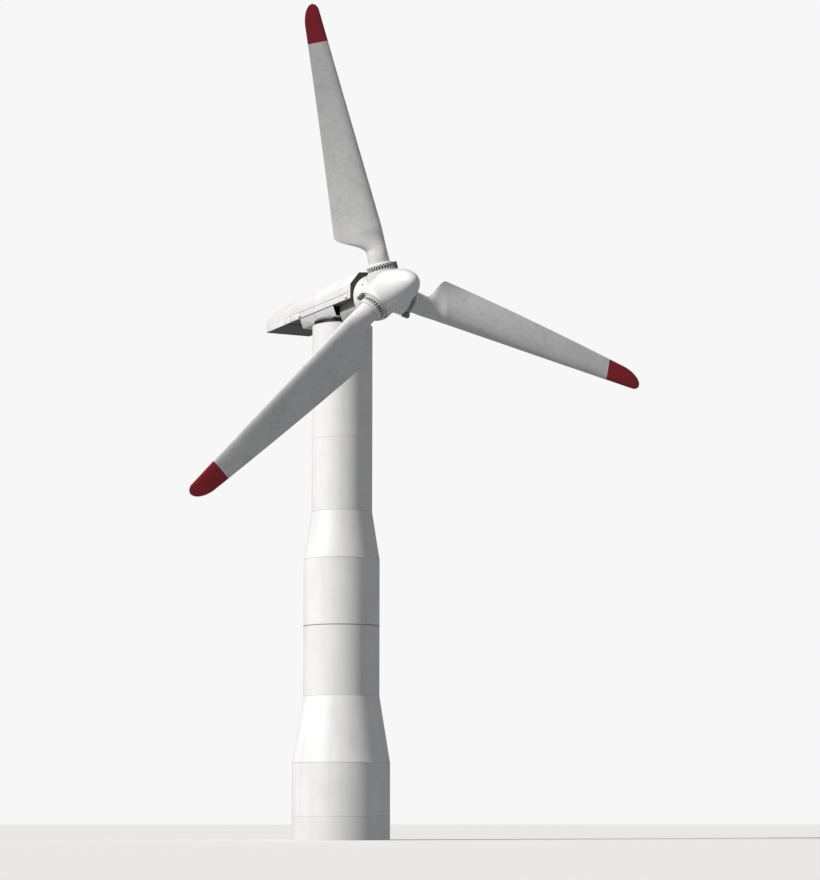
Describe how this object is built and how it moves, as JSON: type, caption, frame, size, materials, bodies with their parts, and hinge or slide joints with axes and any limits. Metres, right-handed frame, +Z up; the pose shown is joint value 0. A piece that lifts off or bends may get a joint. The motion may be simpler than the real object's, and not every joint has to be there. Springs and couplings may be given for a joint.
{
  "type": "horizontal axis wind turbine",
  "caption": "Upwind wind turbine: red-tipped pitching blades on a pointed spinner, a long low nacelle that yaws, and a stepped white tubular tower.",
  "frame": {"origin": "centre of the tower base at the foundation face", "axes": "+Z up the tower axis, -Y towards the rotor and spinner, +Y towards the nacelle's tail, +X to the right seen from the front"},
  "size_m": [14.5504, 9.0193, 24.1149],
  "materials": {
    "blade_gelcoat": "gelcoat",
    "blade_root_paint": "satin",
    "brake_caliper_paint": "gloss",
    "brake_disc_steel": "turned",
    "cabinet_paint": "powder coat",
    "cast_housing": "painted",
    "cast_hub": "painted",
    "chin_paint": "satin",
    "dark_bolts": "weathered",
    "dark_machined_steel": "oiled",
    "dark_rubbered_latch": "matte",
    "floor_dark_paint": "satin",
    "frame_paint": "satin",
    "front_frame_dark": "satin",
    "galvanised_bolts": "galvanised",
    "gearbox_paint": "satin",
    "generator_paint": "satin",
    "greased_gear_steel": "greased",
    "keel_gelcoat": "gelcoat",
    "machined_shaft_steel": "ground",
    "motor_paint": "gloss",
    "nacelle_gelcoat": "gelcoat",
    "pitch_lock_grey": "satin",
    "pitch_race_paint": "satin",
    "spinner_gelcoat": "gelcoat",
    "tip_red_paint": "gelcoat",
    "tower_inner_steel": "machined",
    "tower_paint": "satin"
  },
  "bodies": {
    "tower": {"joint_bolts": "galvanised_bolts", "joint_flanges": "tower_inner_steel", "tower_base_can": "tower_paint", "tower_lower_can": "tower_paint", "tower_lower_cone": "tower_paint", "tower_middle_can_high": "tower_paint", "tower_middle_can_low": "tower_paint", "tower_top_can_high": "tower_paint", "tower_top_can_low": "tower_paint", "tower_top_can_middle": "tower_paint", "tower_upper_cone": "tower_paint", "yaw_ring_gear": "greased_gear_steel"},
    "yaw_pinion_right": {"yaw_pinion_right": "greased_gear_steel"},
    "yaw_pinion_left": {"yaw_pinion_left": "greased_gear_steel"},
    "side_flap_left": {"side_flap_left": "nacelle_gelcoat"},
    "side_flap_right": {"side_flap_right": "nacelle_gelcoat"},
    "latch_left_front": {"latch_left_front": "dark_rubbered_latch"},
    "latch_left_rear": {"latch_left_rear": "dark_rubbered_latch"},
    "latch_right_front": {"latch_right_front": "dark_rubbered_latch"},
    "latch_right_rear": {"latch_right_rear": "dark_rubbered_latch"},
    "countershaft": {"countershaft": "greased_gear_steel"},
    "generator_spindle": {"generator_spindle": "machined_shaft_steel", "brake_disc": "brake_disc_steel"},
    "pitch_rod": {"pitch_rod": "machined_shaft_steel"},
    "rotor": {"hub_casting": "cast_hub", "main_shaft": "machined_shaft_steel", "slow_gear": "greased_gear_steel", "spinner": "spinner_gelcoat", "spinner_frame": "spinner_gelcoat", "spinner_screws": "dark_bolts", "pitch_races": "pitch_race_paint", "pitch_locks": "pitch_lock_grey"},
    "blade_1": {"blade_1_shell": "blade_gelcoat", "blade_1_tip": "tip_red_paint", "blade_1_root": "blade_root_paint", "blade_1_fasteners": "galvanised_bolts"},
    "blade_2": {"blade_2_shell": "blade_gelcoat", "blade_2_tip": "tip_red_paint", "blade_2_root": "blade_root_paint", "blade_2_fasteners": "galvanised_bolts"},
    "blade_3": {"blade_3_shell": "blade_gelcoat", "blade_3_tip": "tip_red_paint", "blade_3_root": "blade_root_paint", "blade_3_fasteners": "galvanised_bolts"},
    "nacelle": {"bedplate": "frame_paint", "brake_caliper": "brake_caliper_paint", "chin": "chin_paint", "control_cabinet": "cabinet_paint", "front_frame": "front_frame_dark", "gearbox_case": "gearbox_paint", "generator": "generator_paint", "hood": "nacelle_gelcoat", "keel": "keel_gelcoat", "main_bearings": "cast_housing", "nacelle_floor": "floor_dark_paint", "pitch_cylinder": "machined_shaft_steel", "side_bands": "nacelle_gelcoat", "yaw_motors": "motor_paint", "yaw_upper_race": "dark_machined_steel"}
  },
  "joints": [
    {"name": "yaw", "type": "hinge", "parent": "tower", "child": "nacelle", "pos_m": [0, 0, 15.32], "axis": [0, 0, 1], "range_deg": [-450, 450]},
    {"name": "rotor_spin", "type": "hinge", "parent": "nacelle", "child": "rotor", "pos_m": [0, -3.09953, 15.7381], "axis": [0, -0.9998, 0.0175], "continuous": true},
    {"name": "countershaft_spin", "type": "hinge", "parent": "nacelle", "child": "countershaft", "pos_m": [-0.13, 0.30388, 15.9039], "axis": [0, -0.9998, 0.0175], "continuous": true},
    {"name": "generator_spin", "type": "hinge", "parent": "nacelle", "child": "generator_spindle", "pos_m": [0.03238, 0.90543, 15.98716], "axis": [0, -0.9998, 0.0175], "continuous": true},
    {"name": "yaw_pinion_right_spin", "type": "hinge", "parent": "nacelle", "child": "yaw_pinion_right", "pos_m": [0.24676, -0.54032, 15.26], "axis": [0, 0, 1], "range_deg": [-4500, 4500]},
    {"name": "yaw_pinion_left_spin", "type": "hinge", "parent": "nacelle", "child": "yaw_pinion_left", "pos_m": [-0.24676, -0.54032, 15.26], "axis": [0, 0, 1], "range_deg": [-4500, 4500]},
    {"name": "pitch_1", "type": "hinge", "parent": "rotor", "child": "blade_1", "pos_m": [0, -3.09953, 15.7381], "axis": [0.2756, -0.0168, -0.9611], "range_deg": [-3, 88]},
    {"name": "pitch_2", "type": "hinge", "parent": "rotor", "child": "blade_2", "pos_m": [0, -3.09953, 15.7381], "axis": [-0.9703, 0.0042, 0.2419], "range_deg": [-3, 88]},
    {"name": "pitch_3", "type": "hinge", "parent": "rotor", "child": "blade_3", "pos_m": [0, -3.09953, 15.7381], "axis": [0.6947, 0.0126, 0.7192], "range_deg": [-3, 88]},
    {"name": "pitch_rod_slide", "type": "slide", "parent": "rotor", "child": "pitch_rod", "axis": [0, -0.9998, 0.0175], "range_m": [-0.155, 0.006]},
    {"name": "side_flap_left_hinge", "type": "hinge", "parent": "nacelle", "child": "side_flap_left", "pos_m": [-0.764, -0.2, 15.872], "axis": [0, 1, 0], "range_deg": [0, 95]},
    {"name": "latch_left_front_turn", "type": "hinge", "parent": "side_flap_left", "child": "latch_left_front", "pos_m": [-0.755, -1.908, 15.724], "axis": [1, 0, 0], "range_deg": [0, 90]},
    {"name": "latch_left_rear_turn", "type": "hinge", "parent": "side_flap_left", "child": "latch_left_rear", "pos_m": [-0.755, 1.508, 15.724], "axis": [-1, 0, 0], "range_deg": [0, 90]},
    {"name": "side_flap_right_hinge", "type": "hinge", "parent": "nacelle", "child": "side_flap_right", "pos_m": [0.764, -0.2, 15.872], "axis": [0, -1, 0], "range_deg": [0, 95]},
    {"name": "latch_right_front_turn", "type": "hinge", "parent": "side_flap_right", "child": "latch_right_front", "pos_m": [0.755, -1.908, 15.724], "axis": [1, 0, 0], "range_deg": [0, 90]},
    {"name": "latch_right_rear_turn", "type": "hinge", "parent": "side_flap_right", "child": "latch_right_rear", "pos_m": [0.755, 1.508, 15.724], "axis": [-1, 0, 0], "range_deg": [0, 90]}
  ],
  "couplings": [
    {"joint": "yaw_pinion_right_spin", "follows": "yaw", "ratio": -10},
    {"joint": "yaw_pinion_left_spin", "follows": "yaw", "ratio": -10},
    {"joint": "countershaft_spin", "follows": "rotor_spin", "ratio": -3.3333},
    {"joint": "generator_spin", "follows": "rotor_spin", "ratio": 13.333},
    {"joint": "pitch_2", "follows": "pitch_1", "ratio": 1},
    {"joint": "pitch_3", "follows": "pitch_1", "ratio": 1},
    {"joint": "pitch_rod_slide", "follows": "pitch_1", "m_per_rad": -0.0977}
  ]
}
